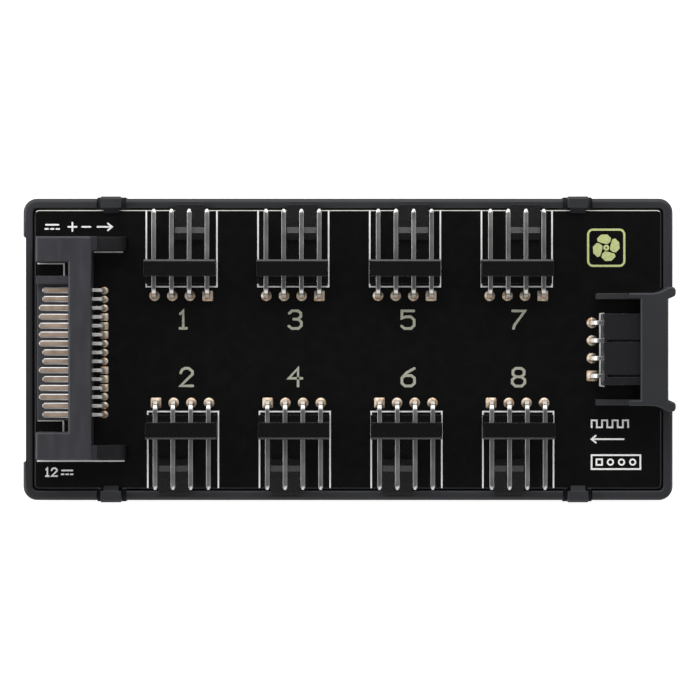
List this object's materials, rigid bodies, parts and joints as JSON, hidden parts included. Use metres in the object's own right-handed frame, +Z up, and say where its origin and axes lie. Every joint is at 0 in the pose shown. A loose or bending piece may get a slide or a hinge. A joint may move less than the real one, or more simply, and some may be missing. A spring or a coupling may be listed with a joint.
{
  "type": "pc fan controller hub",
  "caption": "Shallow snap-in tray holding a circuit board with rows of right-angle fan headers, a drive-power plug at one end and a roofed control input at the other.",
  "frame": {"origin": "centre of the tray's underside", "axes": "+X out of the control input, +Y out of the odd-numbered fan headers, +Z up from the board"},
  "size_m": [0.0934, 0.044, 0.0142],
  "materials": {
    "tray_plastic": "fine moulded grain",
    "board_mask": "glossy solder mask",
    "header_plastic": "satin moulding",
    "plug_plastic": "satin moulding",
    "pin_tin": "tin plated",
    "contact_metal": "plated copper alloy",
    "chip_plastic": "moulded epoxy",
    "chip_ceramic": "fired ceramic"
  },
  "bodies": {
    "root": {"tray": "tray_plastic", "circuit_board": "board_mask", "control_header_body": "header_plastic", "control_header_pins": "pin_tin", "power_plug_housing": "plug_plastic", "power_contacts": "contact_metal", "resettable_fuse": "chip_ceramic", "signal_buffer": "chip_plastic", "filter_capacitors": "chip_ceramic", "signal_resistors": "chip_plastic", "fan_header_1_body": "header_plastic", "fan_header_1_pins": "pin_tin", "fan_header_2_body": "header_plastic", "fan_header_2_pins": "pin_tin", "fan_header_3_body": "header_plastic", "fan_header_3_pins": "pin_tin", "fan_header_4_body": "header_plastic", "fan_header_4_pins": "pin_tin", "fan_header_5_body": "header_plastic", "fan_header_5_pins": "pin_tin", "fan_header_6_body": "header_plastic", "fan_header_6_pins": "pin_tin", "fan_header_7_body": "header_plastic", "fan_header_7_pins": "pin_tin", "fan_header_8_body": "header_plastic", "fan_header_8_pins": "pin_tin"}
  },
  "joints": []
}
